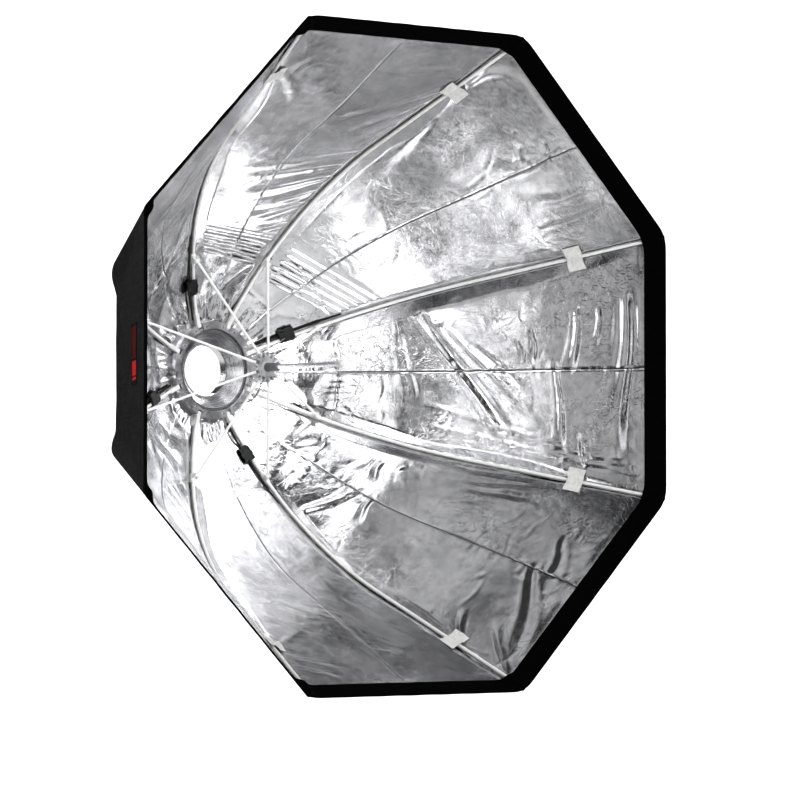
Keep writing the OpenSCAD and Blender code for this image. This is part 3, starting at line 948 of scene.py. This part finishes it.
def strap_clip(k):
    """A side release clip over the rod: a waisted body, two side arms, a bar and a saddle for the rod."""
    length, w = CLIP_L, CLIP_W
    mesh = bmesh.new()
    block(mesh, (length * 0.62, w * 0.94, 0.0040), (length * 0.17, 0, 0.0058))
    block(mesh, (length * 0.36, w * 0.52, 0.0034), (-length * 0.30, 0, 0.0058))
    for side in (-1, 1):
        block(mesh, (length * 0.44, w * 0.13, 0.0036), (-length * 0.20, side * w * 0.40, 0.0058))
        block(mesh, (length * 0.20, w * 0.10, 0.0056), (length * 0.06, side * w * 0.46, 0.0058))
        saddle = -strap_side(k) * CLIP_Y + side * 0.0043
        block(mesh, (length * 0.90, 0.0014, 0.0052), (0, saddle, 0.0014))
    block(mesh, (0.0026, w * 0.96, 0.0052), (length * 0.47, 0, 0.0052))
    block(mesh, (0.0026, w * 0.70, 0.0046), (-length * 0.47, 0, 0.0052))
    bmesh.ops.bevel(mesh, geom=mesh.edges[:], offset=0.0006, segments=2, affect="EDGES", profile=0.6)
    data = bpy.data.meshes.new(f"clip_{k}")
    r, z = rib_line(np.array(CLIP_S))
    a = float(slope(np.array(CLIP_S)))
    forward, up = (math.cos(a), math.sin(a)), (-math.sin(a), math.cos(a))
    for v in mesh.verts:
        x, y, lift = v.co
        radial = float(r) + x * forward[0] + lift * up[0]
        ahead = float(z) + x * forward[1] + lift * up[1]
        beside = y + strap_side(k) * CLIP_Y
        v.co = turned(np.array(radial), np.array(beside), np.array(ahead), rib_azimuth(k))
    mesh.to_mesh(data)
    mesh.free()
    piece = new_object(f"clip_{k}", data, LOOKS["clip"], smooth=False)
    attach(piece, f"rib_{k}")


for rib in STRAPPED_RIBS:
    strap_webbing(rib)
    strap_clip(rib)
label_half("label_upper", 4, -1)
label_half("label_lower", 4, 1)

# ---- finishes of the CAD pieces ----

NODE_LOOKS = {
    "insert_dish": "dish",
    "bayonet_ring": "bright",
    "insert_circlip": "dark",
    "speedring_housing": "cast",
    "ring_cover": "cover",
    "hinge_pins": "bright",
    "cover_screws": "bright",
    "fabric_clamp_ring": "plastic",
    "lock_wire": "dark",
    "hub_carrier": "hub",
    "hub_cap": "hub",
    "shaft_sleeve": "sleeve",
    "pull_shaft": "shaft",
    "shaft_cap": "nylon",
    "rib_fittings": "nylon",
    "rib": "rod",
    "stretcher": "rod",
}


def finish_nodes():
    """Gives every CAD node that shows the look of its kind."""
    for name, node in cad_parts.items():
        base = name.rstrip("0123456789").rstrip("_")
        look = NODE_LOOKS.get(name) or NODE_LOOKS.get(base)
        if look:
            node.data.materials.clear()
            node.data.materials.append(LOOKS[look])


finish_nodes()

# ---- camera, light and floor ----

CAMERA_AT = (-4.796, -6.503, -0.324)
CAMERA_TURN = math.radians(39.07)
CAMERA_TILT = math.radians(1.90)
CAMERA_LENS = 190.2
SENSOR_W = 36
LIGHTS_AIM = Vector((0, -0.35, 0))
LIGHTS_AWAY = 3.6
ROOM_STRENGTH = 0.06
FLOOR_R = 3.4
FLOOR_Z = -1.1


def add_camera():
    """The photo's camera."""
    data = bpy.data.cameras.new("camera")
    data.lens, data.sensor_width = CAMERA_LENS, SENSOR_W
    camera = bpy.data.objects.new("camera", data)
    bpy.context.scene.collection.objects.link(camera)
    camera.location = CAMERA_AT
    aim = Vector((
        math.sin(CAMERA_TURN) * math.cos(CAMERA_TILT),
        math.cos(CAMERA_TURN) * math.cos(CAMERA_TILT),
        math.sin(CAMERA_TILT),
    ))
    camera.rotation_mode = "QUATERNION"
    camera.rotation_quaternion = aim.to_track_quat("-Z", "Y")
    bpy.context.scene.camera = camera


def add_soft_light(name, azimuth, elevation, size, watts):
    """A soft rectangle of light that faces the object: azimuth 0 is before its mouth, 90 on its +X side."""
    data = bpy.data.lights.new(name, "AREA")
    data.shape, data.size, data.size_y, data.energy = "RECTANGLE", size[0], size[1], watts
    lamp = bpy.data.objects.new(name, data)
    bpy.context.scene.collection.objects.link(lamp)
    a, e = math.radians(azimuth), math.radians(elevation)
    back = Vector((math.sin(a) * math.cos(e), -math.cos(a) * math.cos(e), math.sin(e)))
    lamp.location = LIGHTS_AIM + back * LIGHTS_AWAY
    lamp.rotation_mode = "QUATERNION"
    lamp.rotation_quaternion = (-back).to_track_quat("-Z", "Y")
    lamp.visible_camera = False


def add_world():
    """White behind the object, and a dimmer room that brightens upwards for everything that it lights."""
    world = bpy.data.worlds.new("world")
    bpy.context.scene.world = world
    world.use_nodes = True
    nodes, links = world.node_tree.nodes, world.node_tree.links
    nodes.clear()
    out = nodes.new("ShaderNodeOutputWorld")
    mix = nodes.new("ShaderNodeMixShader")
    ray = nodes.new("ShaderNodeLightPath")
    room, white = nodes.new("ShaderNodeBackground"), nodes.new("ShaderNodeBackground")
    where, split = nodes.new("ShaderNodeTexCoord"), nodes.new("ShaderNodeSeparateXYZ")
    ramp = nodes.new("ShaderNodeValToRGB")
    links.new(where.outputs["Generated"], split.inputs[0])
    scale = nodes.new("ShaderNodeMapRange")
    scale.inputs[1].default_value, scale.inputs[2].default_value = -1, 1
    links.new(split.outputs[2], scale.inputs[0])
    links.new(scale.outputs[0], ramp.inputs[0])
    stops = ramp.color_ramp.elements
    stops[0].position, stops[0].color = 0.30, (0.45, 0.45, 0.45, 1)
    stops[1].position, stops[1].color = 0.85, (1, 1, 1, 1)
    links.new(ramp.outputs[0], room.inputs[0])
    room.inputs[1].default_value = ROOM_STRENGTH
    white.inputs[0].default_value = (1, 1, 1, 1)
    links.new(ray.outputs["Is Camera Ray"], mix.inputs[0])
    links.new(room.outputs[0], mix.inputs[1])
    links.new(white.outputs[0], mix.inputs[2])
    links.new(mix.outputs[0], out.inputs[0])


def add_floor():
    """A round floor below the softbox, which is no part of it."""
    mesh = bmesh.new()
    bmesh.ops.create_circle(mesh, cap_ends=True, segments=96, radius=FLOOR_R)
    data = bpy.data.meshes.new("floor")
    mesh.to_mesh(data)
    mesh.free()
    floor = new_object("floor", data, floor_look(), smooth=False)
    floor.location = (0, 0, FLOOR_Z)


add_camera()
add_world()
add_floor()
add_soft_light("front", 4, 14, (1.0, 1.0), 28)
add_soft_light("front_low", -13, 5, (1.0, 1.7), 21)
add_soft_light("front_right", 20, 4, (1.0, 1.8), 8)
add_soft_light("front_top", -2, 35, (2.4, 1.0), 21)
add_soft_light("left", -42, 10, (1.2, 1.8), 9.5)
add_soft_light("far_left", -68, 3, (1.4, 1.0), 1.8)
add_soft_light("back_left", -130, 25, (1.8, 1.8), 60)
add_soft_light("back_right", 140, 30, (1.8, 1.8), 60)
bpy.context.scene.view_settings.view_transform = "Standard"
bpy.context.scene.view_settings.look = "High Contrast"
